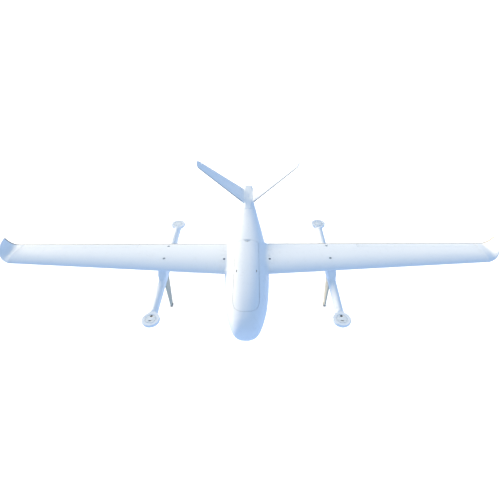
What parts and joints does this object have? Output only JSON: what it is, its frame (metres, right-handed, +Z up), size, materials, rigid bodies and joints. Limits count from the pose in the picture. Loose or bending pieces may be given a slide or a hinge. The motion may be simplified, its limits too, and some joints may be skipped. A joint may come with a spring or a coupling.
{
  "type": "fixed wing drone",
  "caption": "Fixed wing VTOL drone airframe: teardrop fuselage, straight wing with curled tips, under-wing booms with motor pods, blade legs and a V-tail.",
  "frame": {"origin": "on the ground under the middle of the length, on the centre plane: the centre of the bottom of the bounding box", "axes": "+Z up, nose towards -Y, +X along the wing to the aircraft's own left wing tip"},
  "size_m": [2.5, 1.1, 0.5177],
  "materials": {
    "white_composite": "satin",
    "plywood": "matte",
    "carbon_tube": "satin",
    "battery_wrap": "gloss",
    "strap_webbing": "matte",
    "black_plastic": "matte",
    "grey_plastic": "matte",
    "cable_sheath": "satin",
    "steel": "satin",
    "dark_button": "satin",
    "alloy": "satin",
    "leg_plastic": "matte",
    "foot_rubber": "matte"
  },
  "bodies": {
    "airframe": {"fuselage_upper_shell": "white_composite", "fuselage_lower_shell": "white_composite", "fuselage_formers": "plywood", "hatch_frame": "white_composite", "equipment_trays": "plywood", "battery": "battery_wrap", "battery_straps": "strap_webbing", "autopilot": "black_plastic", "gps_module": "grey_plastic", "power_module": "black_plastic", "radio_receiver": "black_plastic", "speed_controllers": "black_plastic", "wiring_loom": "cable_sheath", "wing_spar_tube": "carbon_tube", "wing_alignment_pins": "carbon_tube", "left_wing_upper_skin": "white_composite", "left_wing_lower_skin": "white_composite", "left_wing_ribs": "plywood", "left_wing_spar": "carbon_tube", "left_wing_tip": "white_composite", "right_wing_upper_skin": "white_composite", "right_wing_lower_skin": "white_composite", "right_wing_ribs": "plywood", "right_wing_spar": "carbon_tube", "right_wing_tip": "white_composite", "control_hinge_rods": "steel", "control_servos": "black_plastic", "servo_covers": "white_composite", "wing_lock_housings": "alloy", "wing_lock_springs": "steel", "left_boom": "white_composite", "right_boom": "white_composite", "boom_saddles": "white_composite", "motor_pods": "white_composite", "motor_mount_plates": "alloy", "landing_legs": "leg_plastic", "foot_pads": "foot_rubber", "boom_screws": "steel", "leg_screws": "steel", "tail_block": "white_composite", "pusher_motor_mount": "white_composite", "left_tail_fin": "white_composite", "right_tail_fin": "white_composite", "tail_fin_rods": "carbon_tube"},
    "left_aileron": {"left_aileron": "white_composite"},
    "left_aileron_servo_arm": {"left_aileron_servo_arm": "black_plastic"},
    "left_aileron_pushrod": {"left_aileron_pushrod": "steel"},
    "right_aileron": {"right_aileron": "white_composite"},
    "right_aileron_servo_arm": {"right_aileron_servo_arm": "black_plastic"},
    "right_aileron_pushrod": {"right_aileron_pushrod": "steel"},
    "left_ruddervator": {"left_ruddervator": "white_composite"},
    "left_ruddervator_servo_arm": {"left_ruddervator_servo_arm": "black_plastic"},
    "left_ruddervator_pushrod": {"left_ruddervator_pushrod": "steel"},
    "right_ruddervator": {"right_ruddervator": "white_composite"},
    "right_ruddervator_servo_arm": {"right_ruddervator_servo_arm": "black_plastic"},
    "right_ruddervator_pushrod": {"right_ruddervator_pushrod": "steel"},
    "top_hatch": {"top_hatch": "white_composite", "hatch_magnets": "steel"},
    "left_wing_lock_button": {"left_wing_lock_button": "dark_button"},
    "right_wing_lock_button": {"right_wing_lock_button": "dark_button"}
  },
  "joints": [
    {"name": "left_aileron_hinge", "type": "hinge", "parent": "airframe", "child": "left_aileron", "pos_m": [0.86, -0.031, 0.2831], "axis": [1, 0, 0], "range_deg": [-25, 25]},
    {"name": "left_aileron_servo", "type": "hinge", "parent": "airframe", "child": "left_aileron_servo_arm", "pos_m": [0.8625, -0.08, 0.2852], "axis": [1, 0, 0], "range_deg": [-26, 26]},
    {"name": "left_aileron_link", "type": "hinge", "parent": "left_aileron_servo_arm", "child": "left_aileron_pushrod", "pos_m": [0.8625, -0.08, 0.2712], "axis": [1, 0, 0], "range_deg": [-26, 26]},
    {"name": "right_aileron_hinge", "type": "hinge", "parent": "airframe", "child": "right_aileron", "pos_m": [-0.86, -0.031, 0.2831], "axis": [1, 0, 0], "range_deg": [-25, 25]},
    {"name": "right_aileron_servo", "type": "hinge", "parent": "airframe", "child": "right_aileron_servo_arm", "pos_m": [-0.8625, -0.08, 0.2852], "axis": [1, 0, 0], "range_deg": [-26, 26]},
    {"name": "right_aileron_link", "type": "hinge", "parent": "right_aileron_servo_arm", "child": "right_aileron_pushrod", "pos_m": [-0.8625, -0.08, 0.2712], "axis": [1, 0, 0], "range_deg": [-26, 26]},
    {"name": "left_ruddervator_hinge", "type": "hinge", "parent": "airframe", "child": "left_ruddervator", "pos_m": [0.15371, 0.47081, 0.41286], "axis": [0.8107, 0.0769, 0.5804], "range_deg": [-25, 25]},
    {"name": "left_ruddervator_servo", "type": "hinge", "parent": "airframe", "child": "left_ruddervator_servo_arm", "pos_m": [0.0889, 0.41852, 0.36646], "axis": [0.8107, 0.0769, 0.5804], "range_deg": [-26, 26]},
    {"name": "left_ruddervator_link", "type": "hinge", "parent": "left_ruddervator_servo_arm", "child": "left_ruddervator_pushrod", "pos_m": [0.09705, 0.41852, 0.35508], "axis": [0.8107, 0.0769, 0.5804], "range_deg": [-26, 26]},
    {"name": "right_ruddervator_hinge", "type": "hinge", "parent": "airframe", "child": "right_ruddervator", "pos_m": [-0.15371, 0.47081, 0.41286], "axis": [0.8107, -0.0769, -0.5804], "range_deg": [-25, 25]},
    {"name": "right_ruddervator_servo", "type": "hinge", "parent": "airframe", "child": "right_ruddervator_servo_arm", "pos_m": [-0.0889, 0.41852, 0.36646], "axis": [0.8107, -0.0769, -0.5804], "range_deg": [-26, 26]},
    {"name": "right_ruddervator_link", "type": "hinge", "parent": "right_ruddervator_servo_arm", "child": "right_ruddervator_pushrod", "pos_m": [-0.09705, 0.41852, 0.35508], "axis": [0.8107, -0.0769, -0.5804], "range_deg": [-26, 26]},
    {"name": "hatch_lift", "type": "slide", "parent": "airframe", "child": "top_hatch", "axis": [0, 0, 1], "range_m": [0, 0.12]},
    {"name": "left_wing_lock_press", "type": "slide", "parent": "airframe", "child": "left_wing_lock_button", "axis": [0, 0, -1], "range_m": [0, 0.003], "stiffness_N_per_m": 300, "springref_m": -0.002},
    {"name": "right_wing_lock_press", "type": "slide", "parent": "airframe", "child": "right_wing_lock_button", "axis": [0, 0, -1], "range_m": [0, 0.003], "stiffness_N_per_m": 300, "springref_m": -0.002}
  ],
  "couplings": [
    {"joint": "left_aileron_servo", "follows": "left_aileron_hinge", "ratio": 1},
    {"joint": "left_aileron_link", "follows": "left_aileron_hinge", "ratio": -1},
    {"joint": "right_aileron_servo", "follows": "right_aileron_hinge", "ratio": 1},
    {"joint": "right_aileron_link", "follows": "right_aileron_hinge", "ratio": -1},
    {"joint": "left_ruddervator_servo", "follows": "left_ruddervator_hinge", "ratio": 1},
    {"joint": "left_ruddervator_link", "follows": "left_ruddervator_hinge", "ratio": -1},
    {"joint": "right_ruddervator_servo", "follows": "right_ruddervator_hinge", "ratio": 1},
    {"joint": "right_ruddervator_link", "follows": "right_ruddervator_hinge", "ratio": -1}
  ]
}
